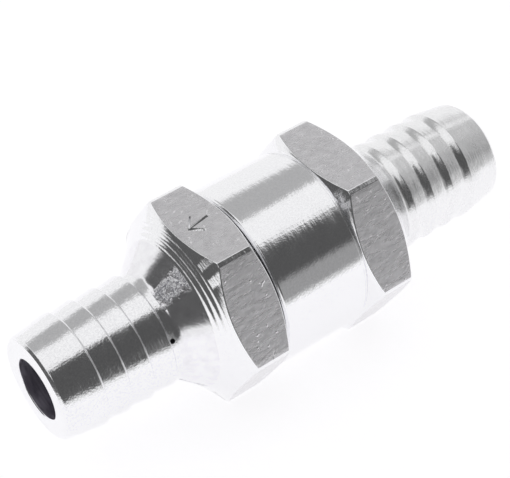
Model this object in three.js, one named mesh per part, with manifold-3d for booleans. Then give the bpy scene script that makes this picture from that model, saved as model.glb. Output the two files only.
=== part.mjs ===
// Inline non-return valve with a hose barb at each end.
// Millimetres, +Z up. The valve lies on one flat of its two hexagons, its axis along X.
// Flow runs along +X: in at the inlet barb (-X), past the poppet, out at the outlet barb (+X).
// The origin is the middle of the length, on the plane the flats rest on.

import * as THREE from 'three';
import { mergeVertices } from 'three/addons/utils/BufferGeometryUtils.js';
import Module from 'manifold-3d';

// ---------------------------------------------------------------- driving dimensions

const OVERALL_LENGTH = 58.3;
const CLEARANCE = 0.3; // between pieces that touch in the real valve

// Hexagons, one on each half of the housing.
const HEX_ACROSS_FLATS = 21;
const HEX_CHAMFER_ANGLE = THREE.MathUtils.degToRad(30);
const HEX_EDGE_BREAK = 0.4; // width of the small bevel along each corner
const OUTLET_HEX_LENGTH = 5.8;
const INLET_HEX_LENGTH = 5.55;
const HEX_FACE_RADIUS = 10.2; // where the 30 degree chamfer ends in a flat face
const HEX_CORE_RADIUS = 10; // of the turned core that each hexagon is set on
const HEX_CORE_OVERLAP = 1; // how deep a hexagon reaches into that core
const CUTTING_MARGIN = 1; // how far a cutting solid reaches past what it cuts

// Hose barbs.
const HOSE_BORE_RADIUS = 3.45;
const BARB_RADIUS = 6.5;
const BARB_TIP_RADIUS = 5.55;
const BARB_TIP_CHAMFER = 0.3;
const BARB_FIRST_CREST = 4.55;
const BARB_PITCH = 2.76;
const BARB_COUNT = 4;
const BARB_STEP_DEPTH = 0.38;
const OUTLET_BARB_STEP = 0.12;
const INLET_BARB_STEP = 0.9;
const OUTLET_BARB_LENGTH = 18.1; // tip to hexagon
const INLET_BARB_LENGTH = 17.75;
const BORE_MOUTH_CHAMFER = 0.12;

// Neck that flares from the last barb up to the hexagon, with three turned grooves in the cone.
const NECK_RADIUS = 6.2;
const NECK_FROM_TIP = 13.95;
const FLARE_RADIUS = 8.65;
const NECK_GROOVED_LENGTH = 1.45;
const NECK_GROOVE_COUNT = 3;
const NECK_GROOVE_DEPTH = 0.05;

// Cylinder of the inlet body.
const BODY_RADIUS = 10.42;
const BODY_EDGE_CHAMFER = 0.3;
const BODY_RELIEF_RADIUS = 10.25;
const BODY_RELIEF_LENGTH = 0.35;
const BODY_RELIEF_EDGE = 0.05;

// Screwed joint (M16 x 1, drawn as plain cylinders at its mean diameter) and its O-ring.
const THREAD_RADIUS = 7.7;
const THREAD_LENGTH = 5.85;
const THREAD_RELIEF_RADIUS = 7.2;
const THREAD_RELIEF_LENGTH = 0.8;
const THREAD_LEAD_CHAMFER = 0.4;
const SEAL_COUNTERBORE_RADIUS = 9.35;
const SEAL_COUNTERBORE_DEPTH = 1.35;
const JOINT_SEAL_RADIUS = 8.55;
const JOINT_SEAL_SECTION = 0.5;

// Valve chamber, seat and poppet.
const CHAMBER_RADIUS = 7.45;
const SEAT_START = -12.5; // where the hose bore opens into the 45 degree seat
const POPPET_SEAL_RADIUS = 4.4;
const POPPET_SEAL_SECTION = 0.6;
const GROOVE_FLOOR_RADIUS = 3.5;
const POPPET_HEAD_RADIUS = 5.6;
const POPPET_HEAD_LENGTH = 1.5;
const POPPET_NOSE_LENGTH = 2.5;
const POPPET_NOSE_RADIUS = 1.2;
const POPPET_CORE_RADIUS = 2.4;
const FIN_COUNT = 4;
const FIN_THICKNESS = 1.6;
const FIN_LENGTH = 3.8;
const COLLAR_RADIUS = 4.6;
const COLLAR_LENGTH = 0.8;
const SPIGOT_RADIUS = 3.3;
const SPIGOT_LENGTH = 2.6;
const SPIGOT_CHAMFER = 0.5;

// Outlet fitting inside the thread: fin stop ring, then the spring pocket.
const FIN_STOP_RADIUS = 6.6;
const FIN_STOP_DEPTH = 2.8;
const SPRING_POCKET_RADIUS = 4.6;
const SPRING_SHOULDER = 7.5;

// Return spring.
const WIRE_RADIUS = 0.25;
const SPRING_RADIUS = 4;
const ACTIVE_COILS = 6;
const END_COILS = 1; // closed coil at each end
const END_COIL_PITCH = 0.62;

// Flow arrow cut into the outlet hexagon's top flat.
const ARROW_TIP_X = 9.5;
const ARROW_LENGTH = 2.8;
const ARROW_HEAD_BACK = 1.3;
const ARROW_HEAD_HALF_WIDTH = 1.2;
const ARROW_CUTTER = 0.26;

// Facets.
const TURNED_SEGMENTS = 48;
const SEAL_SEGMENTS = 36;
const SECTION_SEGMENTS = 10;
const WIRE_SEGMENTS = 6;
const STEPS_PER_COIL = 18;
const MERGE_DISTANCE = 1e-4;

// ---------------------------------------------------------------- stations along X

const OUTLET_TIP = OVERALL_LENGTH / 2;
const INLET_TIP = -OVERALL_LENGTH / 2;
const HEX_APOTHEM = HEX_ACROSS_FLATS / 2;
const HEX_CORNER_RADIUS = HEX_APOTHEM / Math.cos(Math.PI / 6);
const CHAMFER_SLOPE = Math.tan(HEX_CHAMFER_ANGLE);
const HEX_FACE_OFFSET = (HEX_APOTHEM - HEX_FACE_RADIUS) * CHAMFER_SLOPE;

const OUTLET_HEX_FRONT = OUTLET_TIP - OUTLET_BARB_LENGTH;
const OUTLET_HEX_BACK = OUTLET_HEX_FRONT - OUTLET_HEX_LENGTH;
const JOINT_FACE = OUTLET_HEX_BACK - HEX_FACE_OFFSET;
const BODY_END = JOINT_FACE - CLEARANCE;
const INLET_HEX_FRONT = INLET_TIP + INLET_BARB_LENGTH;
const INLET_HEX_BACK = INLET_HEX_FRONT + INLET_HEX_LENGTH;
const THREAD_END = JOINT_FACE - THREAD_LENGTH;
const SEAL_FLOOR = BODY_END - SEAL_COUNTERBORE_DEPTH;
const JOINT_SEAL_X = (SEAL_FLOOR + JOINT_FACE) / 2;

// The seat is the 45 degree cone r = x - SEAT_START + HOSE_BORE_RADIUS.
const SEAT_END = SEAT_START + CHAMBER_RADIUS - HOSE_BORE_RADIUS;
const SEAL_STANDOFF = (POPPET_SEAL_SECTION + CLEARANCE) * Math.SQRT2;
const POPPET_SEAL_X = SEAT_START + POPPET_SEAL_RADIUS - HOSE_BORE_RADIUS + SEAL_STANDOFF;
const GROOVE_FRONT = POPPET_SEAL_X - POPPET_SEAL_SECTION - CLEARANCE;
const GROOVE_BACK = POPPET_SEAL_X + POPPET_SEAL_SECTION + CLEARANCE;
const POPPET_HEAD_BACK = GROOVE_BACK + POPPET_HEAD_LENGTH;
const FIN_BACK = POPPET_HEAD_BACK + FIN_LENGTH;
const FIN_RADIUS = CHAMBER_RADIUS - CLEARANCE;
const CHAMBER_END = THREAD_END - CLEARANCE;

const SPRING_START = FIN_BACK + CLEARANCE + WIRE_RADIUS;
const SPRING_END = SPRING_SHOULDER - CLEARANCE - WIRE_RADIUS;

// ---------------------------------------------------------------- solids

const wasm = await Module();
wasm.setup();

function toSolid(geometry) {
  const bare = geometry.clone();
  bare.deleteAttribute('normal');
  bare.deleteAttribute('uv');
  const merged = mergeVertices(bare, MERGE_DISTANCE);
  return new wasm.Manifold(new wasm.Mesh({
    numProp: 3,
    vertProperties: new Float32Array(merged.attributes.position.array),
    triVerts: new Uint32Array(merged.index.array),
  }));
}

function toGeometry(solid) {
  const mesh = solid.getMesh();
  const geometry = new THREE.BufferGeometry();
  geometry.setAttribute('position', new THREE.BufferAttribute(mesh.vertProperties, 3));
  geometry.setIndex(new THREE.BufferAttribute(mesh.triVerts, 1));
  geometry.computeVertexNormals();
  return geometry;
}

// Turns [x, radius] points about the X axis. A tube's points close on themselves.
function turned(points, segments = TURNED_SEGMENTS) {
  const profile = points.map(([x, radius]) => new THREE.Vector2(radius, x));
  return new THREE.LatheGeometry(profile, segments).rotateZ(-Math.PI / 2);
}

// Closes a tube section: the outside from -X to +X, then the inside from +X back to -X.
function tubeSection(outside, inside) {
  return [...outside, ...inside, outside[0]];
}

function sealRing(x, radius, section) {
  const ring = new THREE.TorusGeometry(radius, section, SECTION_SEGMENTS, SEAL_SEGMENTS);
  return ring.rotateY(Math.PI / 2).translate(x, 0, 0);
}

// ---------------------------------------------------------------- housing shapes

// Barb outline from the tip to the hexagon, as [distance from tip, radius].
function barbOutline(stepLength, barbLength) {
  const outline = [
    [0, BARB_TIP_RADIUS],
    [BARB_TIP_CHAMFER, BARB_TIP_RADIUS + BARB_TIP_CHAMFER],
  ];
  for (let barb = 0; barb < BARB_COUNT; barb += 1) {
    const crest = BARB_FIRST_CREST + barb * BARB_PITCH;
    outline.push([crest, BARB_RADIUS]);
    outline.push([crest + stepLength, BARB_RADIUS - BARB_STEP_DEPTH]);
  }
  outline.push([NECK_FROM_TIP, NECK_RADIUS]);
  const groovesStart = barbLength - NECK_GROOVED_LENGTH;
  const grooveLength = (NECK_GROOVED_LENGTH - HEX_FACE_OFFSET) / NECK_GROOVE_COUNT;
  const grooveRise = (HEX_FACE_RADIUS - FLARE_RADIUS) / NECK_GROOVE_COUNT;
  outline.push([groovesStart, FLARE_RADIUS]);
  for (let groove = 1; groove <= NECK_GROOVE_COUNT; groove += 1) {
    const along = groovesStart + groove * grooveLength;
    const radius = FLARE_RADIUS + groove * grooveRise;
    outline.push([along - grooveLength / 2 + NECK_GROOVE_DEPTH, radius - grooveRise / 2 - NECK_GROOVE_DEPTH]);
    outline.push([along, radius]);
  }
  return outline;
}

// A hexagon with broken corners and 30 degree chamfers, as a ring that is set into a turned core.
function hexRing(back, front) {
  const shape = new THREE.Shape();
  const cut = (HEX_EDGE_BREAK / 2) / HEX_CORNER_RADIUS / Math.cos(Math.PI / 6);
  const cornerRadius = HEX_APOTHEM / Math.cos(Math.PI / 6 - cut);
  for (let corner = 0; corner < 6; corner += 1) {
    for (const side of [-1, 1]) {
      const angle = (corner * Math.PI) / 3 + side * cut;
      const point = [Math.cos(angle) * cornerRadius, Math.sin(angle) * cornerRadius];
      if (corner === 0 && side === -1) shape.moveTo(...point);
      else shape.lineTo(...point);
    }
  }
  const depth = front - back + 2 * (HEX_FACE_OFFSET + CUTTING_MARGIN);
  const prism = new THREE.ExtrudeGeometry(shape, { depth, bevelEnabled: false, steps: 1 });
  prism.translate(0, 0, back - HEX_FACE_OFFSET - CUTTING_MARGIN).rotateZ(Math.PI / 2).rotateY(Math.PI / 2);

  const rim = HEX_CORNER_RADIUS + CUTTING_MARGIN;
  const rimOffset = (rim - HEX_APOTHEM) * CHAMFER_SLOPE;
  const core = HEX_CORE_RADIUS - HEX_CORE_OVERLAP;
  const chamfered = turned(tubeSection(
    [[back - HEX_FACE_OFFSET, core], [back - HEX_FACE_OFFSET, HEX_FACE_RADIUS], [back + rimOffset, rim],
      [front - rimOffset, rim], [front + HEX_FACE_OFFSET, HEX_FACE_RADIUS]],
    [[front + HEX_FACE_OFFSET, core]],
  ));
  return toSolid(chamfered).intersect(toSolid(prism));
}

function inletBody() {
  const barb = barbOutline(INLET_BARB_STEP, INLET_BARB_LENGTH);
  const outside = [
    [INLET_TIP, HOSE_BORE_RADIUS + BORE_MOUTH_CHAMFER],
    ...barb.map(([along, radius]) => [INLET_TIP + along, radius]),
    [INLET_HEX_FRONT, HEX_CORE_RADIUS],
    [INLET_HEX_BACK, HEX_CORE_RADIUS],
    [INLET_HEX_BACK, BODY_RELIEF_RADIUS],
    [INLET_HEX_BACK + BODY_RELIEF_LENGTH, BODY_RELIEF_RADIUS],
    [INLET_HEX_BACK + BODY_RELIEF_LENGTH + BODY_RELIEF_EDGE, BODY_RADIUS],
    [BODY_END - BODY_EDGE_CHAMFER, BODY_RADIUS],
    [BODY_END, BODY_RADIUS - BODY_EDGE_CHAMFER],
  ];
  const inside = [
    [BODY_END, SEAL_COUNTERBORE_RADIUS],
    [SEAL_FLOOR, SEAL_COUNTERBORE_RADIUS],
    [SEAL_FLOOR, THREAD_RADIUS + CLEARANCE],
    [CHAMBER_END, THREAD_RADIUS + CLEARANCE],
    [CHAMBER_END, CHAMBER_RADIUS],
    [SEAT_END, CHAMBER_RADIUS],
    [SEAT_START, HOSE_BORE_RADIUS],
    [INLET_TIP + BORE_MOUTH_CHAMFER, HOSE_BORE_RADIUS],
  ];
  const core = toSolid(turned(tubeSection(outside, inside)));
  return toGeometry(core.add(hexRing(INLET_HEX_FRONT, INLET_HEX_BACK)));
}

// A V-shaped stroke on the top flat, from one [x, y] point to another.
function arrowStroke([x0, y0], [x1, y1]) {
  const length = Math.hypot(x1 - x0, y1 - y0);
  const stroke = new THREE.BoxGeometry(length, ARROW_CUTTER, ARROW_CUTTER).rotateX(Math.PI / 4);
  stroke.rotateZ(Math.atan2(y1 - y0, x1 - x0));
  return toSolid(stroke.translate((x0 + x1) / 2, (y0 + y1) / 2, HEX_APOTHEM));
}

function outletFitting() {
  const barb = barbOutline(OUTLET_BARB_STEP, OUTLET_BARB_LENGTH).reverse();
  const outside = [
    [THREAD_END, THREAD_RADIUS - THREAD_LEAD_CHAMFER],
    [THREAD_END + THREAD_LEAD_CHAMFER, THREAD_RADIUS],
    [JOINT_FACE - THREAD_RELIEF_LENGTH, THREAD_RADIUS],
    [JOINT_FACE - THREAD_RELIEF_LENGTH, THREAD_RELIEF_RADIUS],
    [JOINT_FACE, THREAD_RELIEF_RADIUS],
    [JOINT_FACE, HEX_CORE_RADIUS],
    [OUTLET_HEX_FRONT, HEX_CORE_RADIUS],
    ...barb.map(([along, radius]) => [OUTLET_TIP - along, radius]),
  ];
  const pocketMouth = THREAD_END + FIN_STOP_DEPTH;
  const inside = [
    [OUTLET_TIP, HOSE_BORE_RADIUS + BORE_MOUTH_CHAMFER],
    [OUTLET_TIP - BORE_MOUTH_CHAMFER, HOSE_BORE_RADIUS],
    [SPRING_SHOULDER, HOSE_BORE_RADIUS],
    [SPRING_SHOULDER, SPRING_POCKET_RADIUS],
    [pocketMouth + FIN_STOP_RADIUS - SPRING_POCKET_RADIUS, SPRING_POCKET_RADIUS],
    [pocketMouth, FIN_STOP_RADIUS],
    [THREAD_END, FIN_STOP_RADIUS],
  ];
  const tip = [ARROW_TIP_X, 0];
  const strokes = [
    arrowStroke(tip, [ARROW_TIP_X - ARROW_LENGTH, 0]),
    arrowStroke(tip, [ARROW_TIP_X - ARROW_HEAD_BACK, ARROW_HEAD_HALF_WIDTH]),
    arrowStroke(tip, [ARROW_TIP_X - ARROW_HEAD_BACK, -ARROW_HEAD_HALF_WIDTH]),
  ];
  let solid = toSolid(turned(tubeSection(outside, inside)));
  solid = solid.add(hexRing(OUTLET_HEX_BACK, OUTLET_HEX_FRONT));
  for (const stroke of strokes) solid = solid.subtract(stroke);
  return toGeometry(solid);
}

// ---------------------------------------------------------------- inner pieces

function poppet() {
  const lipRadius = HOSE_BORE_RADIUS + GROOVE_FRONT - SEAT_START - CLEARANCE * Math.SQRT2;
  const noseEdge = SPIGOT_RADIUS - CLEARANCE;
  const lipLength = lipRadius - noseEdge;
  const spigotEnd = FIN_BACK + SPIGOT_LENGTH;
  const shaft = toSolid(turned([
    [GROOVE_FRONT - lipLength - POPPET_NOSE_LENGTH, 0],
    [GROOVE_FRONT - lipLength - POPPET_NOSE_LENGTH, POPPET_NOSE_RADIUS],
    [GROOVE_FRONT - lipLength, noseEdge],
    [GROOVE_FRONT, lipRadius],
    [GROOVE_FRONT, GROOVE_FLOOR_RADIUS],
    [GROOVE_BACK, GROOVE_FLOOR_RADIUS],
    [GROOVE_BACK, POPPET_HEAD_RADIUS],
    [POPPET_HEAD_BACK, POPPET_HEAD_RADIUS],
    [POPPET_HEAD_BACK, POPPET_CORE_RADIUS],
    [FIN_BACK - COLLAR_LENGTH, POPPET_CORE_RADIUS],
    [FIN_BACK - COLLAR_LENGTH, COLLAR_RADIUS],
    [FIN_BACK, COLLAR_RADIUS],
    [FIN_BACK, SPIGOT_RADIUS],
    [spigotEnd - SPIGOT_CHAMFER, SPIGOT_RADIUS],
    [spigotEnd, SPIGOT_RADIUS - SPIGOT_CHAMFER],
    [spigotEnd, 0],
  ]));
  const sweep = toSolid(turned([
    [POPPET_HEAD_BACK - POPPET_HEAD_LENGTH / 2, 0],
    [POPPET_HEAD_BACK - POPPET_HEAD_LENGTH / 2, POPPET_HEAD_RADIUS - CLEARANCE],
    [POPPET_HEAD_BACK + FIN_RADIUS - POPPET_HEAD_RADIUS, FIN_RADIUS],
    [FIN_BACK, FIN_RADIUS],
    [FIN_BACK, 0],
  ]));
  const plateLength = 2 * FIN_LENGTH + POPPET_HEAD_LENGTH;
  let solid = shaft;
  for (let fin = 0; fin < FIN_COUNT / 2; fin += 1) {
    const plate = new THREE.BoxGeometry(plateLength, 2 * CHAMBER_RADIUS, FIN_THICKNESS);
    plate.rotateX(((fin * 2 + 1) * Math.PI) / FIN_COUNT).translate(FIN_BACK - FIN_LENGTH, 0, 0);
    solid = solid.add(toSolid(plate).intersect(sweep));
  }
  return toGeometry(solid);
}

// Centre line of the wire: a closed coil at each end and evenly spaced coils between.
class SpringPath extends THREE.Curve {
  getPoint(t, target = new THREE.Vector3()) {
    const coils = ACTIVE_COILS + 2 * END_COILS;
    const turn = t * coils;
    const closed = END_COILS * END_COIL_PITCH;
    const length = SPRING_END - SPRING_START;
    const open = length - 2 * closed;
    let along = turn * END_COIL_PITCH;
    if (turn > END_COILS) along = closed + (open * (turn - END_COILS)) / ACTIVE_COILS;
    if (turn > coils - END_COILS) along = length - (coils - turn) * END_COIL_PITCH;
    const angle = turn * 2 * Math.PI;
    return target.set(SPRING_START + along, SPRING_RADIUS * Math.cos(angle), SPRING_RADIUS * Math.sin(angle));
  }
}

function returnSpring() {
  const wire = new THREE.Shape();
  for (let side = 0; side < WIRE_SEGMENTS; side += 1) {
    const angle = (side * 2 * Math.PI) / WIRE_SEGMENTS;
    const point = [WIRE_RADIUS * Math.cos(angle), WIRE_RADIUS * Math.sin(angle)];
    if (side === 0) wire.moveTo(...point);
    else wire.lineTo(...point);
  }
  const steps = STEPS_PER_COIL * (ACTIVE_COILS + 2 * END_COILS);
  return new THREE.ExtrudeGeometry(wire, { steps, bevelEnabled: false, extrudePath: new SpringPath() });
}

// ---------------------------------------------------------------- assembly

function metal(color, roughness) {
  return new THREE.MeshStandardMaterial({ color, roughness, metalness: 1 });
}

function rubber(color) {
  return new THREE.MeshStandardMaterial({ color, roughness: 0.75, metalness: 0 });
}

function piece(name, geometry, material) {
  const mesh = new THREE.Mesh(geometry, material);
  mesh.name = name;
  return mesh;
}

const valve = new THREE.Group();
valve.position.z = HEX_APOTHEM;
valve.add(
  piece('inlet_body', inletBody(), metal(0xdedfe4, 0.2)),
  piece('outlet_fitting', outletFitting(), metal(0xd6d7dd, 0.25)),
  piece('joint_seal', sealRing(JOINT_SEAL_X, JOINT_SEAL_RADIUS, JOINT_SEAL_SECTION), rubber(0x1b1b1d)),
  piece('poppet', poppet(), metal(0xc9cace, 0.3)),
  piece('poppet_seal', sealRing(POPPET_SEAL_X, POPPET_SEAL_RADIUS, POPPET_SEAL_SECTION), rubber(0x1b1b1d)),
  piece('return_spring', returnSpring(), metal(0xb9bbc0, 0.3)),
);

export default valve;
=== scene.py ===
# Looks for the inline non-return valve: fine meshes, metal and rubber materials, studio and camera.
# Everything is in the CAD frame: axis along X, flow along +X, resting on Z = 0.

import math

import bmesh
import bpy
import numpy as np
from mathutils import Matrix, Vector


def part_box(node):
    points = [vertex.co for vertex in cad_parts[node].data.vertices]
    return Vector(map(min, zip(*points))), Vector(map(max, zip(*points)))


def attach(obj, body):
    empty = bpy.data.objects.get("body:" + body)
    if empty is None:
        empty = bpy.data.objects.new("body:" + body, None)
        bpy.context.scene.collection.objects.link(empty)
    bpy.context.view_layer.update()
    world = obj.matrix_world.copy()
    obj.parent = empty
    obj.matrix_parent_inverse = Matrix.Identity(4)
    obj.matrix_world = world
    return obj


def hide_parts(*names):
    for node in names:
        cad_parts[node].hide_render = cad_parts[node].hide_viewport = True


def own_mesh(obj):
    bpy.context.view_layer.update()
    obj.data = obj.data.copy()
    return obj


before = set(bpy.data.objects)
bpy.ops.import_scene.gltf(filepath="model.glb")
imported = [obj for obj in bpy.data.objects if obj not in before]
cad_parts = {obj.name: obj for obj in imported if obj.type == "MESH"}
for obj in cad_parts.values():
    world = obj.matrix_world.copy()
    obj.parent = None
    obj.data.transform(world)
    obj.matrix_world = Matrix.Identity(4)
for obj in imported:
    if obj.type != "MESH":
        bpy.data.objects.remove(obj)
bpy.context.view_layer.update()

# ---------------------------------------------------------------- dimensions, in millimetres

MM = 0.001


def box_mm(node):
    low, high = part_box(node)
    return [value / MM for value in low], [value / MM for value in high]


BODY_LOW, BODY_HIGH = box_mm("inlet_body")
FITTING_LOW, FITTING_HIGH = box_mm("outlet_fitting")
POPPET_LOW, POPPET_HIGH = box_mm("poppet")
SPRING_LOW, SPRING_HIGH = box_mm("return_spring")

AXIS_HEIGHT = (BODY_LOW[2] + BODY_HIGH[2]) / 2
HEX_APOTHEM = (BODY_HIGH[2] - BODY_LOW[2]) / 2
INLET_TIP = BODY_LOW[0]
CAD_BODY_END = BODY_HIGH[0]
THREAD_END = FITTING_LOW[0]
OUTLET_TIP = FITTING_HIGH[0]
CLEARANCE = 0.3
JOINT_FACE = CAD_BODY_END + CLEARANCE
JOINT_GAP = 0.12
BODY_END = JOINT_FACE - JOINT_GAP

CORNER_BEVEL = 0.56
BEVEL_LEAN = math.radians(5)
BEVEL_ROUNDING = 0.14
HEX_EDGE_BREAK = 0.09
CHAMFER_SLOPE = math.tan(math.radians(30))
HEX_FACE_RADIUS = 10.2
HEX_FACE_OFFSET = (HEX_APOTHEM - HEX_FACE_RADIUS) * CHAMFER_SLOPE
OUTLET_HEX_LENGTH = 5.8
INLET_HEX_LENGTH = 5.55
INLET_BARB_LENGTH = 17.75
OUTLET_HEX_BACK = JOINT_FACE + HEX_FACE_OFFSET
OUTLET_HEX_FRONT = OUTLET_HEX_BACK + OUTLET_HEX_LENGTH
INLET_HEX_FRONT = INLET_TIP + INLET_BARB_LENGTH
INLET_HEX_BACK = INLET_HEX_FRONT + INLET_HEX_LENGTH

BORE_RADIUS = 3.45
BARB_RADIUS = 6.5
BARB_TIP_RADIUS = 5.55
BARB_TIP_CHAMFER = 0.3
BARB_FIRST_CREST = 4.55
BARB_PITCH = 2.76
BARB_COUNT = 4
BARB_STEP_DEPTH = 0.38
NECK_RADIUS = 6.2
NECK_FROM_TIP = 13.95
FLARE_RADIUS = 8.65
RING_ZONE_LENGTH = 1.45
RING_COUNT = 3
RING_DEPTH = 0.014
STEPS_PER_RING = 10
BORE_MOUTH_CHAMFER = 0.12
SMALL_ROUND = 0.1
EDGE_ROUND = 0.05
SEAT_ROUND = 0.2

BODY_RADIUS = 10.42
RELIEF_DEPTH = 0.17
RELIEF_START = 0.1
RELIEF_LENGTH = 0.25
RELIEF_SLOPE_LENGTH = 0.05
BODY_END_CHAMFER = 0.3
THREAD_ROOT = 7.38
THREAD_DEPTH = 0.55
THREAD_PITCH = 1.0
THREAD_PLAY = 0.14
THREAD_RELIEF_LENGTH = 0.8
THREAD_RELIEF_DEPTH = 0.15
THREAD_END_SETBACK = 0.1
CHAMBER_RADIUS = 7.45
SEAT_START = -12.5
SEAL_COUNTERBORE_RADIUS = 9.35
SEAL_COUNTERBORE_DEPTH = 1.35
FIN_STOP_RADIUS = 6.6
FIN_STOP_DEPTH = 2.8
SPRING_POCKET_RADIUS = 4.6
SPRING_SHOULDER = 7.5

ARROW_TIP = (9.5, 0)
ARROW_STROKES = (
    # (reach along X, reach along Y, width, depth)
    (-2.7, -0.4, 0.32, 0.15),
    (-1.4, 1.2, 0.42, 0.22),
    (-1.3, -1.4, 0.26, 0.09),
)
PIT_FROM_TIP = 13.2
PIT_ANGLE = math.radians(63)
PIT_RADIUS = 0.3

SEAL_GROOVE_HALF = 0.9
SEAL_GROOVE_RADIUS = 3.5
POPPET_HEAD_RADIUS = 5.6
POPPET_HEAD_LENGTH = 1.5
POPPET_NOSE_RADIUS = 1.2
POPPET_CORE_RADIUS = 2.4
FIN_THICKNESS = 1.6
FIN_RADIUS = CHAMBER_RADIUS - CLEARANCE
FIN_EDGE = 0.1
FIN_END_CHAMFER = 0.15
NOSE_ROUND = 0.3
HEAD_ROUND = 0.15
HEAD_BACK_STEP = 0.3
CENTRE_RADIUS = 0.001
COLLAR_RADIUS = 4.6
COLLAR_LENGTH = 0.8
SPIGOT_RADIUS = 3.3
SPIGOT_LENGTH = 2.6
SPIGOT_CHAMFER = 0.5
WIRE_RADIUS = 0.25
SPRING_RADIUS = 4
ACTIVE_COILS = 6
END_COILS = 1
END_COIL_PITCH = 0.62
STEPS_PER_COIL = 40

# ---------------------------------------------------------------- mesh making

FLAT_POINTS = 26
ROUND_STEPS = 4
POINTS_PER_PITCH = 12
MERGE_DISTANCE = 1e-7
SHARP_ANGLE = math.radians(40)


def hex_section():
    """Angle from +Z towards +Y, radius, and on-a-flat flag of each point round a bevelled hexagon."""
    angles, radii, on_flat = [], [], []
    half_side = HEX_APOTHEM * math.tan(math.pi / 6)
    cut_before = CORNER_BEVEL * math.sin(math.pi / 6 - BEVEL_LEAN) / math.sin(math.pi / 3)
    cut_after = CORNER_BEVEL * math.sin(math.pi / 6 + BEVEL_LEAN) / math.sin(math.pi / 3)

    def place(normal, across, along, flat):
        angles.append(normal + math.atan2(across, along))
        radii.append(math.hypot(across, along))
        on_flat.append(flat)

    for side in range(6):
        normal = side * math.pi / 3
        last = half_side - cut_before
        for across in np.linspace(cut_after - half_side, last, FLAT_POINTS):
            place(normal, across, HEX_APOTHEM, across < last)
        turn = math.pi / 6 + BEVEL_LEAN
        for share in (BEVEL_ROUNDING, 1 - BEVEL_ROUNDING):
            run = CORNER_BEVEL * share
            place(normal, last + run * math.cos(turn), HEX_APOTHEM - run * math.sin(turn), False)
    return np.array(angles), np.array(radii), on_flat


ANGLES, HEX_RADII, ON_FLAT = hex_section()


def softened(points):
    """Rounds the corners of an open outline of (x, radius, corner size, finish) points."""
    result = [points[0]]
    for before, here, after in zip(points, points[1:], points[2:]):
        corner = np.array(here[:2])
        back = np.array(before[:2]) - corner
        ahead = np.array(after[:2]) - corner
        reach = min(here[2], 0.45 * np.linalg.norm(back), 0.45 * np.linalg.norm(ahead))
        if reach <= 0:
            result.append(here)
            continue
        start = corner + back / np.linalg.norm(back) * reach
        end = corner + ahead / np.linalg.norm(ahead) * reach
        for step in range(ROUND_STEPS + 1):
            t = step / ROUND_STEPS
            spot = (1 - t) ** 2 * start + 2 * t * (1 - t) * corner + t ** 2 * end
            result.append((spot[0], spot[1], 0, before[3] if t < 0.5 else here[3]))
    result.append(points[-1])
    return result


def round_stations(points, angles=ANGLES):
    ones = np.ones_like(angles)
    return [(x * ones, radius * ones, finish) for x, radius, _, finish in points]


def hex_stations(back, front):
    """Stations over a hexagon from its -X chamfer to its +X chamfer, with polished broken edges."""
    rise = (HEX_RADII - HEX_APOTHEM) * CHAMFER_SLOPE
    chamfer = math.atan(CHAMFER_SLOPE)
    stations = []
    for middle, outward in ((back, -1), (front, 1)):
        edge = middle - outward * rise
        on_chamfer = (edge + outward * HEX_EDGE_BREAK * math.sin(chamfer),
                      HEX_RADII - HEX_EDGE_BREAK * math.cos(chamfer), "turned")
        on_flat = (edge - outward * HEX_EDGE_BREAK, HEX_RADII, "flat" if outward < 0 else "turned")
        rounded = (edge / 2 + (on_chamfer[0] + on_flat[0]) / 4,
                   HEX_RADII / 2 + (on_chamfer[1] + on_flat[1]) / 4, "turned")
        side = [on_chamfer, rounded, on_flat]
        stations += side if outward < 0 else side[::-1]
    return stations


def thread_stations(start, end, root, finish):
    """A right-hand helical thread, whose radius follows x and the angle together."""
    stations = []
    count = int(abs(end - start) / THREAD_PITCH * POINTS_PER_PITCH)
    for x in np.linspace(start, end, count):
        phase = (x / THREAD_PITCH + ANGLES / (2 * math.pi)) % 1.0
        ridge = np.clip(1.25 * (1 - np.abs(2 * phase - 1)) - 0.1, 0, 1)
        fade = min(1.0, abs(x - start) / THREAD_PITCH + 0.05, abs(end - x) / THREAD_PITCH + 0.05)
        stations.append((x * np.ones_like(ANGLES), root + THREAD_DEPTH * fade * ridge, finish))
    return stations


def skin(name, stations, finishes, angles=ANGLES):
    """Skins closed rings of stations round the valve's axis, and closes the last onto the first."""
    columns, rows = len(angles), len(stations)
    points = np.concatenate([
        np.stack([x, radius * np.sin(angles), radius * np.cos(angles) + AXIS_HEIGHT], axis=1)
        for x, radius, _ in stations]) * MM
    faces, slots = [], []
    for row in range(rows):
        following = (row + 1) % rows
        for column in range(columns):
            beside = (column + 1) % columns
            faces.append((row * columns + column, row * columns + beside,
                          following * columns + beside, following * columns + column))
            finish = stations[row][2]
            if finish == "flat" and not ON_FLAT[column]:
                finish = "turned"
            slots.append(list(finishes).index(finish))
    mesh = bpy.data.meshes.new(name)
    mesh.from_pydata([tuple(point) for point in points], [], faces)
    mesh.polygons.foreach_set("material_index", slots)
    for finish in finishes.values():
        mesh.materials.append(finish)
    piece = bpy.data.objects.new(name, mesh)
    bpy.context.collection.objects.link(piece)
    return piece


def shade(piece):
    """Merges doubles, points the faces outward and shades them smooth up to a sharp angle."""
    edit = bmesh.new()
    edit.from_mesh(piece.data)
    bmesh.ops.remove_doubles(edit, verts=edit.verts, dist=MERGE_DISTANCE)
    bmesh.ops.dissolve_degenerate(edit, edges=edit.edges, dist=MERGE_DISTANCE)
    bmesh.ops.recalc_face_normals(edit, faces=edit.faces)
    for face in edit.faces:
        face.smooth = True
    for edge in edit.edges:
        edge.smooth = len(edge.link_faces) == 2 and edge.calc_face_angle(0) < SHARP_ANGLE
    edit.to_mesh(piece.data)
    edit.free()
    weights = piece.modifiers.new("even shading", "WEIGHTED_NORMAL")
    weights.keep_sharp = True


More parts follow.
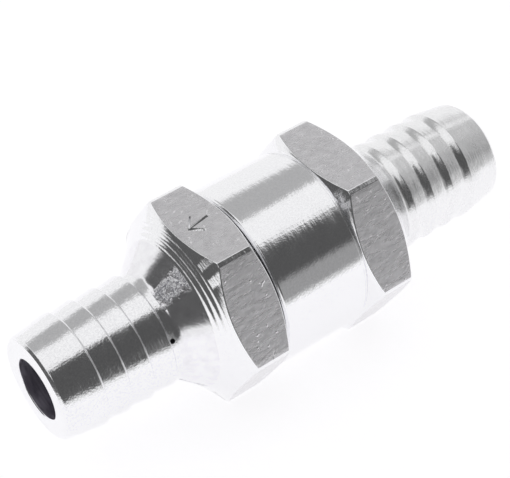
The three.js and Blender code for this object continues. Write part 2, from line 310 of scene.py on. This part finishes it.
def carve(piece, cutters):
    """Cuts each cutter out of the piece and removes the cutters."""
    for cutter in cutters:
        cut = piece.modifiers.new("cut", "BOOLEAN")
        cut.operation = "DIFFERENCE"
        cut.solver = "EXACT"
        cut.object = cutter
    shape = piece.evaluated_get(bpy.context.evaluated_depsgraph_get())
    mesh = bpy.data.meshes.new_from_object(shape)
    piece.modifiers.clear()
    piece.data = mesh
    for cutter in cutters:
        bpy.data.objects.remove(cutter)


def stand_in(piece, body, node):
    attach(piece, body)
    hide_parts(node)


# ---------------------------------------------------------------- materials

JAW_ANGLE = 22


class Nodes:
    """Short names for building a Principled material. Lengths are in millimetres."""

    def __init__(self, name):
        self.material = bpy.data.materials.new(name)
        self.material.use_nodes = True
        self.tree = self.material.node_tree
        self.shader = self.tree.nodes["Principled BSDF"]
        place = self.add("ShaderNodeTexCoord").outputs["Object"]
        self.place = self.vector("MULTIPLY", place, (1 / MM,) * 3)
        self.around_axis = self.turned_place()

    def add(self, kind, **inputs):
        node = self.tree.nodes.new(kind)
        for key, value in inputs.items():
            self.put(node, key.replace("_", " "), value)
        return node

    def put(self, node, key, value):
        socket = node.inputs[key]
        if isinstance(value, bpy.types.NodeSocket):
            self.tree.links.new(value, socket)
        else:
            socket.default_value = value

    def math(self, operation, first, second=0.0, third=0.0):
        node = self.tree.nodes.new("ShaderNodeMath")
        node.operation = operation
        for index, value in enumerate((first, second, third)):
            self.put(node, index, value)
        return node.outputs[0]

    def vector(self, operation, first, second):
        node = self.tree.nodes.new("ShaderNodeVectorMath")
        node.operation = operation
        self.put(node, 0, first)
        self.put(node, 1, second)
        return node.outputs["Value" if operation == "LENGTH" else "Vector"]

    def turned_place(self):
        """(x, radius, angle in radians) round the valve's axis."""
        from_axis = self.vector("SUBTRACT", self.place, (0, 0, AXIS_HEIGHT))
        split = self.add("ShaderNodeSeparateXYZ", Vector=from_axis)
        across = self.add("ShaderNodeCombineXYZ", Y=split.outputs["Y"], Z=split.outputs["Z"]).outputs[0]
        radius = self.vector("LENGTH", across, (0, 0, 0))
        angle = self.math("ARCTAN2", split.outputs["Y"], split.outputs["Z"])
        return self.add("ShaderNodeCombineXYZ", X=split.outputs["X"], Y=radius, Z=angle).outputs[0]

    def noise(self, place, scale, detail=2.0, roughness=0.5):
        node = self.add("ShaderNodeTexNoise", Vector=self.vector("MULTIPLY", place, scale), Scale=1.0)
        node.inputs["Detail"].default_value = detail
        node.inputs["Roughness"].default_value = roughness
        return node.outputs["Fac"]

    def span(self, value, low, high, start=0.3, end=0.7):
        """Maps start..end onto low..high."""
        node = self.add("ShaderNodeMapRange", Value=value)
        for key, number in zip(("From Min", "From Max", "To Min", "To Max"), (start, end, low, high)):
            node.inputs[key].default_value = number
        return node.outputs["Result"]

    def tint(self, value, dark, light, start=0.3, end=0.7):
        node = self.add("ShaderNodeValToRGB", Fac=value)
        low, high = node.color_ramp.elements
        low.position, high.position = start, end
        low.color, high.color = (*dark, 1), (*light, 1)
        return node.outputs["Color"]

    def blend(self, mask, first, second):
        node = self.add("ShaderNodeMix")
        node.data_type = "RGBA"
        self.put(node, "Factor", mask)
        self.put(node, 6, first)
        self.put(node, 7, second)
        return node.outputs[2]

    def bump(self, height, depth, before=None):
        node = self.add("ShaderNodeBump", Height=height, Strength=1.0, Distance=depth * MM)
        if before is not None:
            self.put(node, "Normal", before)
        return node.outputs["Normal"]

    def finish(self, **inputs):
        for key, value in inputs.items():
            self.put(self.shader, key.replace("_", " "), value)
        return self.material

    def cross_lines(self):
        """Anisotropic shine spread across the tool lines, which run round the axis."""
        tangent = self.add("ShaderNodeTangent")
        tangent.direction_type = "RADIAL"
        tangent.axis = "X"
        self.put(self.shader, "Tangent", tangent.outputs["Tangent"])
        self.put(self.shader, "Anisotropic", 0.6)
        self.put(self.shader, "Anisotropic Rotation", 0.25)


def turned_metal(name, dark, light, rough, depth):
    """Bright turned aluminium: tool lines round the axis, a fine grain and a slight smear."""
    make = Nodes(name)
    lines = make.noise(make.around_axis, (4.5, 4.5, 8), detail=2)
    broad = make.noise(make.around_axis, (1.7, 1.7, 0.6), detail=2)
    grain = make.noise(make.place, (5, 5, 5), detail=2, roughness=0.6)
    smear = make.noise(make.place, (0.5, 0.5, 0.5), detail=4, roughness=0.6)
    normal = make.bump(lines, depth)
    normal = make.bump(broad, depth * 3, normal)
    normal = make.bump(grain, depth * 1.1, normal)
    normal = make.bump(smear, depth * 4, normal)
    make.cross_lines()
    return make.finish(Base_Color=make.tint(grain, dark, light), Metallic=1.0,
                       Roughness=make.span(smear, rough * 0.7, rough * 1.4), Normal=normal)


def chattered_metal_painted_glints(name):
    """The flare of the neck. The three chuck jaw marks are a chattered patch each: a rough bump, with painted
    glints as dark and bright speckle in its colour.
    """
    make = Nodes(name)
    grain = make.noise(make.place, (4.2, 4.2, 4.2), detail=3, roughness=0.7)
    lines = make.noise(make.around_axis, (4.5, 4.5, 8), detail=2)
    blotch = make.noise(make.place, (0.9, 0.9, 0.9), detail=4)
    split = make.add("ShaderNodeSeparateXYZ", Vector=make.around_axis)
    offset = make.math("SUBTRACT", split.outputs["Z"], math.radians(JAW_ANGLE))
    jaw_chatter_and_painted_glints = make.span(make.math("COSINE", make.math("MULTIPLY", offset, 3.0)), 0.0, 1.0, 0.82, 1.0)
    jaw_chatter_and_painted_glints = make.math("MULTIPLY", jaw_chatter_and_painted_glints, make.span(blotch, 0.3, 1.4, 0.4, 0.55))
    normal = make.bump(make.math("MULTIPLY", grain, jaw_chatter_and_painted_glints), 0.16)
    normal = make.bump(lines, 0.004, normal)
    normal = make.bump(blotch, 0.02, normal)
    # Painted glints: a dark and bright speckle in the colour of each patch stands in for its sparkling
    # reflections.
    painted_glint_speckle = make.tint(grain, (0.3, 0.3, 0.33), (0.94, 0.94, 0.96), 0.4, 0.6)
    bright = make.tint(blotch, (0.84, 0.83, 0.86), (0.93, 0.93, 0.95))
    make.cross_lines()
    return make.finish(Base_Color=make.blend(jaw_chatter_and_painted_glints, bright, painted_glint_speckle), Metallic=1.0,
                       Roughness=make.span(grain, 0.1, 0.2), Normal=normal)


def drawn_flat(name):
    """Hexagon flats as drawn: matt grey, streaked along X, with dents, nicks and curved scratches."""
    make = Nodes(name)
    streaks = make.noise(make.place, (0.5, 5, 5), detail=4, roughness=0.65)
    mottle = make.noise(make.place, (0.9, 1.3, 1.3), detail=6, roughness=0.7)
    grain = make.noise(make.place, (5, 5, 5), detail=3, roughness=0.7)
    swirl = make.noise(make.place, (0.45, 0.45, 0.45), detail=1)
    where = make.noise(make.place, (0.9, 0.9, 0.9), detail=1)
    line = make.span(make.math("ABSOLUTE", make.math("SUBTRACT", swirl, 0.5)), 1.0, 0.0, 0.002, 0.008)
    scratch = make.math("MULTIPLY", line, make.span(where, 0.0, 1.0, 0.56, 0.6))
    cells = make.add("ShaderNodeTexVoronoi", Vector=make.place, Scale=0.9)
    nick = make.span(cells.outputs["Distance"], 1.0, 0.0, 0.05, 0.12)
    normal = make.bump(streaks, 0.005)
    normal = make.bump(grain, 0.01, normal)
    normal = make.bump(mottle, 0.06, normal)
    normal = make.bump(scratch, 0.03, normal)
    normal = make.bump(nick, 0.03, normal)
    worn = make.math("MAXIMUM", scratch, nick)
    rough = make.math("SUBTRACT", make.span(streaks, 0.24, 0.34), make.math("MULTIPLY", worn, 0.12))
    return make.finish(Base_Color=make.tint(mottle, (0.74, 0.73, 0.75), (0.9, 0.89, 0.91)), Metallic=1.0,
                       Roughness=rough, Normal=normal)


def bore_metal_painted_shade(name, dark, light):
    """Aluminium of the bores, the threads and the pit in the neck, its colour darkened as painted shade
    inside these hollows.
    """
    make = Nodes(name)
    lines = make.noise(make.around_axis, (5, 5, 2), detail=3)
    return make.finish(Base_Color=make.tint(lines, dark, light), Metallic=1.0,
                       Roughness=make.span(lines, 0.35, 0.55), Normal=make.bump(lines, 0.01))


def nitrile(name):
    make = Nodes(name)
    grain = make.noise(make.place, (5, 5, 5), detail=4)
    return make.finish(Base_Color=make.tint(grain, (0.012, 0.012, 0.013), (0.03, 0.03, 0.032)),
                       Roughness=make.span(grain, 0.45, 0.65), Normal=make.bump(grain, 0.01))


def drawn_wire(name):
    make = Nodes(name)
    grain = make.noise(make.place, (9, 9, 9), detail=3)
    return make.finish(Base_Color=make.tint(grain, (0.5, 0.5, 0.52), (0.68, 0.68, 0.7)), Metallic=1.0,
                       Roughness=make.span(grain, 0.22, 0.36), Normal=make.bump(grain, 0.004))


FINISHES = {
    "turned": turned_metal("turned_aluminium", (0.87, 0.87, 0.89), (0.95, 0.95, 0.965), 0.11, 0.006),
    "flare": chattered_metal_painted_glints("chattered_aluminium_painted_glints"),
    "flat": drawn_flat("drawn_aluminium_flat"),
    # Bores and threads: the colour is darkened to under half of the turned aluminium's, as painted shade
    # inside the hollows.
    "bore": bore_metal_painted_shade("bore_aluminium_painted_shade", (0.34, 0.32, 0.38), (0.48, 0.46, 0.52)),
    # The pit: a near-black colour, painted shade inside the small hollow.
    "pit": bore_metal_painted_shade("pit_painted_shade_black", (0.01, 0.01, 0.012), (0.03, 0.03, 0.034)),
    "barb": turned_metal("barb_aluminium", (0.84, 0.84, 0.86), (0.95, 0.95, 0.965), 0.16, 0.01),
    "satin": turned_metal("satin_turned_aluminium", (0.84, 0.84, 0.85), (0.93, 0.93, 0.94), 0.23, 0.008),
}
POPPET_FINISH = {
    "satin": turned_metal("poppet_aluminium", (0.72, 0.72, 0.74), (0.82, 0.82, 0.84), 0.24, 0.004),
}
RUBBER = nitrile("nitrile_rubber")
WIRE = drawn_wire("stainless_wire")

# ---------------------------------------------------------------- housing


def barb_outline(step_length, crest_round, foot_round, barb_length, barb_finish, flare_finish):
    """Outline from the tip to the hexagon, as (distance from tip, radius, corner size, finish)."""
    outline = [
        (0, BARB_TIP_RADIUS, 0.08, barb_finish),
        (BARB_TIP_CHAMFER, BARB_TIP_RADIUS + BARB_TIP_CHAMFER, 0.12, barb_finish),
    ]
    for barb in range(BARB_COUNT):
        crest = BARB_FIRST_CREST + barb * BARB_PITCH
        outline.append((crest, BARB_RADIUS, crest_round, barb_finish))
        outline.append((crest + step_length, BARB_RADIUS - BARB_STEP_DEPTH, foot_round, barb_finish))
    rings_start = barb_length - RING_ZONE_LENGTH
    rings_end = barb_length - HEX_FACE_OFFSET
    outline.append((NECK_FROM_TIP, NECK_RADIUS, 0.8, flare_finish))
    outline.append((rings_start, FLARE_RADIUS, 0.1, "turned"))
    steps = RING_COUNT * STEPS_PER_RING
    for step in range(1, steps):
        share = step / steps
        ripple = RING_DEPTH * math.sin(2 * math.pi * RING_COUNT * share)
        along = rings_start + (rings_end - rings_start) * share
        radius = FLARE_RADIUS + (HEX_FACE_RADIUS - FLARE_RADIUS) * share
        outline.append((along + ripple, radius - ripple, 0, "turned"))
    return outline


def inlet_body():
    barb = [(INLET_TIP + along, *rest) for along, *rest in
            barb_outline(0.6, 0.1, 0.45, INLET_BARB_LENGTH, "satin", "satin")]
    seal_floor = CAD_BODY_END - SEAL_COUNTERBORE_DEPTH
    chamber_end = THREAD_END - CLEARANCE
    seat_end = SEAT_START + CHAMBER_RADIUS - BORE_RADIUS
    nut_radius = THREAD_ROOT + THREAD_PLAY
    relief_start = INLET_HEX_BACK + RELIEF_START
    relief_end = relief_start + RELIEF_LENGTH
    cylinder = softened([
        (INLET_HEX_BACK + (HEX_APOTHEM - BODY_RADIUS) * CHAMFER_SLOPE, BODY_RADIUS - 0.02, 0, "turned"),
        (relief_start, BODY_RADIUS - RELIEF_DEPTH, EDGE_ROUND, "turned"),
        (relief_end, BODY_RADIUS - RELIEF_DEPTH, EDGE_ROUND, "turned"),
        (relief_end + RELIEF_SLOPE_LENGTH, BODY_RADIUS, EDGE_ROUND, "turned"),
        (BODY_END - BODY_END_CHAMFER, BODY_RADIUS, SMALL_ROUND, "turned"),
        (BODY_END, BODY_RADIUS - BODY_END_CHAMFER, SMALL_ROUND, "turned"),
        (BODY_END, SEAL_COUNTERBORE_RADIUS, SMALL_ROUND, "bore"),
        (seal_floor, SEAL_COUNTERBORE_RADIUS, SMALL_ROUND, "bore"),
        (seal_floor, nut_radius + THREAD_DEPTH, 0, "bore"),
    ])
    inner = softened([
        (chamber_end, nut_radius, 0, "bore"),
        (chamber_end, CHAMBER_RADIUS, 0, "bore"),
        (seat_end, CHAMBER_RADIUS, SEAT_ROUND, "bore"),
        (SEAT_START, BORE_RADIUS, SEAT_ROUND, "bore"),
        (INLET_TIP + BORE_MOUTH_CHAMFER, BORE_RADIUS, EDGE_ROUND, "bore"),
        (INLET_TIP, BORE_RADIUS + BORE_MOUTH_CHAMFER, EDGE_ROUND, "turned"),
        (INLET_TIP, BARB_TIP_RADIUS, 0, "turned"),
    ])
    face = [(INLET_HEX_FRONT - HEX_FACE_OFFSET, HEX_FACE_RADIUS, 0, "turned")]
    stations = round_stations(softened(barb) + face)
    stations += hex_stations(INLET_HEX_FRONT, INLET_HEX_BACK)
    stations += round_stations(cylinder)
    stations += thread_stations(seal_floor - 0.01, chamber_end + 0.01, nut_radius, "bore")
    stations += round_stations(inner[:-1])
    piece = skin("fine_inlet_body", stations, FINISHES)
    shade(piece)
    stand_in(piece, "body", "inlet_body")


def stroke_cutter(start, end, width, depth, height):
    """A flattened bar on edge, which cuts a shallow V-shaped stroke into the top flat."""
    mesh = bpy.data.meshes.new("stroke")
    edit = bmesh.new()
    bmesh.ops.create_cube(edit, size=1)
    edit.to_mesh(mesh)
    edit.free()
    cutter = bpy.data.objects.new("stroke", mesh)
    bpy.context.collection.objects.link(cutter)
    start, end = Vector((*start, height)), Vector((*end, height))
    along = end - start
    on_edge = Matrix.Rotation(math.pi / 4, 4, "X") @ Matrix.Diagonal((1, math.sqrt(0.5), math.sqrt(0.5), 1))
    grow = Matrix.Diagonal((along.length * MM, width * MM, 2 * depth * MM, 1))
    turn = Matrix.Rotation(math.atan2(along.y, along.x), 4, "Z")
    cutter.matrix_world = Matrix.Translation((start + end) / 2 * MM) @ turn @ grow @ on_edge
    return cutter


def pit_cutter(from_tip, angle, size):
    """A small ball that leaves a pit in the neck."""
    spot = (OUTLET_TIP - from_tip, NECK_RADIUS * math.sin(angle), NECK_RADIUS * math.cos(angle) + AXIS_HEIGHT)
    bpy.ops.mesh.primitive_uv_sphere_add(segments=16, ring_count=10, radius=size * MM,
                                         location=Vector(spot) * MM)
    ball = bpy.context.object
    for finish in FINISHES.values():
        ball.data.materials.append(finish)
    # The pit's faces get the near-black painted shade.
    for face in ball.data.polygons:
        face.material_index = list(FINISHES).index("pit")
    return ball


def outlet_fitting():
    barb = [(OUTLET_TIP - along, *rest) for along, *rest in
            barb_outline(0.15, 0.35, 0.05, OUTLET_TIP - OUTLET_HEX_FRONT, "barb", "flare")]
    pocket_mouth = THREAD_END + FIN_STOP_DEPTH
    relief_end = JOINT_FACE - THREAD_RELIEF_LENGTH
    joint = softened([
        (relief_end, THREAD_ROOT - THREAD_RELIEF_DEPTH, SMALL_ROUND, "bore"),
        (JOINT_FACE, THREAD_ROOT - THREAD_RELIEF_DEPTH, SMALL_ROUND, "turned"),
        (JOINT_FACE, HEX_FACE_RADIUS, 0, "turned"),
    ])
    inner = softened([
        (OUTLET_TIP, BARB_TIP_RADIUS, 0, "turned"),
        (OUTLET_TIP, BORE_RADIUS + BORE_MOUTH_CHAMFER, EDGE_ROUND, "turned"),
        (OUTLET_TIP - BORE_MOUTH_CHAMFER, BORE_RADIUS, EDGE_ROUND, "bore"),
        (SPRING_SHOULDER, BORE_RADIUS, SMALL_ROUND, "bore"),
        (SPRING_SHOULDER, SPRING_POCKET_RADIUS, SMALL_ROUND, "bore"),
        (pocket_mouth + FIN_STOP_RADIUS - SPRING_POCKET_RADIUS, SPRING_POCKET_RADIUS, SEAT_ROUND, "bore"),
        (pocket_mouth, FIN_STOP_RADIUS, SEAT_ROUND, "bore"),
        (THREAD_END, FIN_STOP_RADIUS, SMALL_ROUND, "turned"),
        (THREAD_END, THREAD_ROOT - THREAD_END_SETBACK, SMALL_ROUND, "turned"),
    ])
    face = [(OUTLET_HEX_FRONT + HEX_FACE_OFFSET, HEX_FACE_RADIUS, 0, "turned")]
    stations = thread_stations(THREAD_END + 0.05, relief_end - 0.05, THREAD_ROOT, "bore")
    stations += round_stations(joint)
    stations += hex_stations(OUTLET_HEX_BACK, OUTLET_HEX_FRONT)
    stations += round_stations(face + softened(barb)[::-1])
    stations += round_stations(inner[1:])
    piece = skin("fine_outlet_fitting", stations, FINISHES)
    top = AXIS_HEIGHT + HEX_APOTHEM
    strokes = []
    for reach_x, reach_y, width, depth in ARROW_STROKES:
        end = (ARROW_TIP[0] + reach_x, ARROW_TIP[1] + reach_y)
        strokes.append(stroke_cutter(ARROW_TIP, end, width, depth, top))
    carve(piece, [*strokes, pit_cutter(PIT_FROM_TIP, PIT_ANGLE, PIT_RADIUS)])
    shade(piece)
    stand_in(piece, "fitting", "outlet_fitting")


# ---------------------------------------------------------------- inner pieces


def seal_ring(name, node, body):
    low, high = box_mm(node)
    section = (high[0] - low[0]) / 2
    radius = (high[2] - low[2]) / 2 - section
    bpy.ops.mesh.primitive_torus_add(
        major_segments=128, minor_segments=24, major_radius=radius * MM, minor_radius=section * MM,
        location=((low[0] + high[0]) / 2 * MM, 0, AXIS_HEIGHT * MM), rotation=(0, math.pi / 2, 0))
    piece = bpy.context.object
    piece.name = name
    piece.data.materials.append(RUBBER)
    shade(piece)
    stand_in(piece, body, node)


def fin_section():
    """Angles round the poppet, and the radius of its core and four fins at each of them."""
    fin_rings = np.linspace(FIN_RADIUS, POPPET_CORE_RADIUS, 5)
    steps = [math.asin(FIN_THICKNESS / 2 / radius) for radius in fin_rings]
    offsets = [-step for step in steps[::-1]] + [0.0] + steps
    gap = np.linspace(steps[-1], math.pi / 2 - steps[-1], 6)[1:-1]
    quarter = np.array(offsets + list(gap)) + math.pi / 4
    angles = np.concatenate([quarter + turn * math.pi / 2 for turn in range(4)])
    from_fin = np.abs(angles % (math.pi / 2) - math.pi / 4)
    finned = np.maximum(POPPET_CORE_RADIUS, FIN_THICKNESS / 2 / np.sin(np.maximum(from_fin, 0.01)))
    return angles, finned


def fin_stations(angles, finned, head_back, fin_back):
    """Stations along the guide fins, from the back of the head to the back of the collar."""
    shoulder = head_back + FIN_RADIUS - POPPET_HEAD_RADIUS
    collar_front = fin_back - COLLAR_LENGTH
    bare = (
        (head_back, POPPET_HEAD_RADIUS - HEAD_BACK_STEP),
        (head_back + FIN_EDGE, POPPET_HEAD_RADIUS - FIN_EDGE),
        (shoulder - FIN_EDGE, FIN_RADIUS - FIN_EDGE),
        (shoulder + FIN_EDGE, FIN_RADIUS),
        (collar_front, FIN_RADIUS),
    )
    collared = (
        (collar_front, FIN_RADIUS),
        (fin_back - FIN_END_CHAMFER, FIN_RADIUS),
        (fin_back, FIN_RADIUS - FIN_END_CHAMFER),
    )
    stations = []
    for sections, least in ((bare, 0), (collared, COLLAR_RADIUS)):
        for x, limit in sections:
            radius = np.maximum(np.minimum(finned, limit), least)
            stations.append((x * np.ones_like(angles), radius, "satin"))
    return stations


def poppet():
    """Seal carrier with four guide fins, a nose that meets the flow and a spigot inside the spring."""
    seal_low, seal_high = box_mm("poppet_seal")
    seal_x = (seal_low[0] + seal_high[0]) / 2
    groove_front, groove_back = seal_x - SEAL_GROOVE_HALF, seal_x + SEAL_GROOVE_HALF
    head_back = groove_back + POPPET_HEAD_LENGTH
    fin_back = POPPET_HIGH[0] - SPIGOT_LENGTH
    lip_radius = BORE_RADIUS + groove_front - SEAT_START - CLEARANCE * math.sqrt(2)
    nose_edge = SPIGOT_RADIUS - CLEARANCE
    front = softened([
        (POPPET_LOW[0], CENTRE_RADIUS, 0, "satin"),
        (POPPET_LOW[0], POPPET_NOSE_RADIUS, NOSE_ROUND, "satin"),
        (groove_front - lip_radius + nose_edge, nose_edge, NOSE_ROUND, "satin"),
        (groove_front, lip_radius, SMALL_ROUND, "satin"),
        (groove_front, SEAL_GROOVE_RADIUS, SMALL_ROUND, "satin"),
        (groove_back, SEAL_GROOVE_RADIUS, SMALL_ROUND, "satin"),
        (groove_back, POPPET_HEAD_RADIUS, HEAD_ROUND, "satin"),
        (head_back, POPPET_HEAD_RADIUS, HEAD_ROUND, "satin"),
        (head_back, POPPET_HEAD_RADIUS - HEAD_BACK_STEP, 0, "satin"),
    ])
    back = softened([
        (fin_back - COLLAR_LENGTH, COLLAR_RADIUS, 0, "satin"),
        (fin_back, COLLAR_RADIUS, SMALL_ROUND, "satin"),
        (fin_back, SPIGOT_RADIUS, SMALL_ROUND, "satin"),
        (POPPET_HIGH[0] - SPIGOT_CHAMFER, SPIGOT_RADIUS, SMALL_ROUND, "satin"),
        (POPPET_HIGH[0], SPIGOT_RADIUS - SPIGOT_CHAMFER, SMALL_ROUND, "satin"),
        (POPPET_HIGH[0], CENTRE_RADIUS, 0, "satin"),
    ])
    angles, finned = fin_section()
    stations = round_stations(front, angles)
    stations += fin_stations(angles, finned, head_back, fin_back)
    stations += round_stations(back[ROUND_STEPS + 2:], angles)
    piece = skin("fine_poppet", stations, POPPET_FINISH, angles)
    shade(piece)
    stand_in(piece, "poppet", "poppet")


def spring_point(turn):
    """A point of the wire's centre line after so many turns from the poppet's end."""
    start = SPRING_LOW[0] + WIRE_RADIUS
    length = SPRING_HIGH[0] - SPRING_LOW[0] - 2 * WIRE_RADIUS
    closed = END_COILS * END_COIL_PITCH
    coils = ACTIVE_COILS + 2 * END_COILS
    along = turn * END_COIL_PITCH
    if turn > END_COILS:
        along = closed + (length - 2 * closed) * (turn - END_COILS) / ACTIVE_COILS
    if turn > coils - END_COILS:
        along = length - (coils - turn) * END_COIL_PITCH
    angle = turn * 2 * math.pi
    across = SPRING_RADIUS * math.cos(angle)
    return Vector((start + along, across, SPRING_RADIUS * math.sin(angle) + AXIS_HEIGHT))


def return_spring():
    """Round wire in a coil."""
    coils = ACTIVE_COILS + 2 * END_COILS
    curve = bpy.data.curves.new("wire", "CURVE")
    curve.dimensions = "3D"
    curve.bevel_depth = WIRE_RADIUS * MM
    curve.bevel_resolution = 4
    curve.use_fill_caps = True
    line = curve.splines.new("POLY")
    steps = STEPS_PER_COIL * coils
    line.points.add(steps)
    for step, point in enumerate(line.points):
        point.co = (*(spring_point(step / STEPS_PER_COIL) * MM), 1)
    wire = bpy.data.objects.new("wire", curve)
    bpy.context.collection.objects.link(wire)
    mesh = bpy.data.meshes.new_from_object(wire.evaluated_get(bpy.context.evaluated_depsgraph_get()))
    bpy.data.objects.remove(wire)
    piece = bpy.data.objects.new("fine_return_spring", mesh)
    bpy.context.collection.objects.link(piece)
    mesh.materials.clear()
    mesh.materials.append(WIRE)
    shade(piece)
    stand_in(piece, "body", "return_spring")
    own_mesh(piece)


inlet_body()
outlet_fitting()
seal_ring("fine_joint_seal", "joint_seal", "seal_carrier")
seal_ring("fine_poppet_seal", "poppet_seal", "poppet")
poppet()
return_spring()

# ---------------------------------------------------------------- studio

TABLE_RADIUS = 95
CARD_SOFTNESS = 8

CAMERA_AZIMUTH = math.radians(54.376)
CAMERA_ELEVATION = math.radians(43.806)
CAMERA_ROLL = math.radians(-2.546)
CAMERA_TARGET = Vector((-1.25, -3.47, AXIS_HEIGHT))
CAMERA_DISTANCE = 170.1
SENSOR_WIDTH = 36
FOCAL_LENGTH = 108.82


def light_table():
    """A round white light table, lit from below, so that the object casts hardly any shadow."""
    bpy.ops.mesh.primitive_circle_add(vertices=96, radius=TABLE_RADIUS * MM, fill_type="NGON")
    sheet = bpy.context.object
    sheet.name = "light_table"
    make = Nodes("white_acrylic")
    grain = make.noise(make.place, (0.05, 0.05, 0.05), detail=3)
    sheet.data.materials.append(make.finish(
        Base_Color=make.tint(grain, (0.36, 0.36, 0.36), (0.38, 0.38, 0.38)), Roughness=0.9,
        Emission_Color=(0.99, 0.985, 1.0, 1), Emission_Strength=0.82))


class Sky:
    """A white tent with a few large soft grey cards, each placed by azimuth and elevation in degrees."""

    def __init__(self, name, brightness):
        world = bpy.data.worlds.new(name)
        world.use_nodes = True
        bpy.context.scene.world = world
        self.tree = world.node_tree
        self.back = self.tree.nodes["Background"]
        self.colour = (brightness,) * 3
        place = self.tree.nodes.new("ShaderNodeTexCoord").outputs["Generated"]
        split = self.tree.nodes.new("ShaderNodeSeparateXYZ")
        self.tree.links.new(place, split.inputs[0])
        self.azimuth = self.math("DEGREES", self.math("ARCTAN2", split.outputs["Y"], split.outputs["X"]))
        self.elevation = self.math("DEGREES", self.math("ARCSINE", split.outputs["Z"]))

    def math(self, operation, *values):
        node = self.tree.nodes.new("ShaderNodeMath")
        node.operation = operation
        for socket, value in zip(node.inputs, values):
            if isinstance(value, bpy.types.NodeSocket):
                self.tree.links.new(value, socket)
            else:
                socket.default_value = value
        return node.outputs[0]

    def near(self, value, low, high, soft):
        """1 where the angle lies between low and high, falling smoothly to 0 over soft degrees."""
        offset = self.math("WRAP", self.math("SUBTRACT", value, (low + high) / 2), 180.0, -180.0)
        node = self.tree.nodes.new("ShaderNodeMapRange")
        node.interpolation_type = "SMOOTHSTEP"
        self.tree.links.new(self.math("ABSOLUTE", offset), node.inputs["Value"])
        node.inputs["From Min"].default_value = (high - low + soft) / 2
        node.inputs["From Max"].default_value = (high - low - soft) / 2
        return node.outputs["Result"]

    def card(self, azimuths, elevations, grey):
        mask = self.math("MULTIPLY", self.near(self.azimuth, *azimuths, CARD_SOFTNESS),
                         self.near(self.elevation, *elevations, CARD_SOFTNESS))
        self.colour = self.mixed(mask, self.colour, (grey,) * 3)

    def mixed(self, mask, first, second):
        mix = self.tree.nodes.new("ShaderNodeMix")
        mix.data_type = "RGBA"
        self.tree.links.new(mask, mix.inputs["Factor"])
        for socket, value in ((mix.inputs[6], first), (mix.inputs[7], second)):
            if isinstance(value, bpy.types.NodeSocket):
                self.tree.links.new(value, socket)
            else:
                socket.default_value = (*value, 1)
        return mix.outputs[2]

    def finish(self):
        """The camera itself sees plain white behind everything."""
        path = self.tree.nodes.new("ShaderNodeLightPath")
        seen = self.mixed(path.outputs["Is Camera Ray"], self.colour, (1.02, 1.02, 1.02))
        self.tree.links.new(seen, self.back.inputs["Color"])


def studio_light():
    """A white tent with five plain cards, which give bright turned metal something dark to reflect."""
    sky = Sky("studio", 0.95)
    # Pale grey on the far side, and at the inlet end.
    sky.card((-150, -60), (30, 65), 0.45)
    sky.card((135, 200), (5, 50), 0.5)
    # Dark above the camera, with a lighter wall below it.
    sky.card((45, 140), (0, 70), 0.09)
    sky.card((100, 140), (-5, 18), 0.33)
    # Dark ahead of the outlet.
    sky.card((-50, 50), (0, 40), 0.1)
    sky.finish()


def camera():
    """A long lens looking down on the outlet end, rolled slightly."""
    across = math.cos(CAMERA_ELEVATION)
    towards = Vector((math.cos(CAMERA_AZIMUTH) * across, math.sin(CAMERA_AZIMUTH) * across,
                      math.sin(CAMERA_ELEVATION)))
    data = bpy.data.cameras.new("camera")
    data.sensor_width = SENSOR_WIDTH
    data.lens = FOCAL_LENGTH
    data.clip_start = 0.01
    eye = bpy.data.objects.new("camera", data)
    bpy.context.collection.objects.link(eye)
    level = (-towards).to_track_quat("-Z", "Y").to_matrix().to_4x4()
    place = Matrix.Translation((CAMERA_TARGET + towards * CAMERA_DISTANCE) * MM)
    eye.matrix_world = place @ level @ Matrix.Rotation(CAMERA_ROLL, 4, "Z")
    bpy.context.scene.camera = eye


light_table()
studio_light()
camera()
bpy.context.scene.view_settings.view_transform = "Standard"
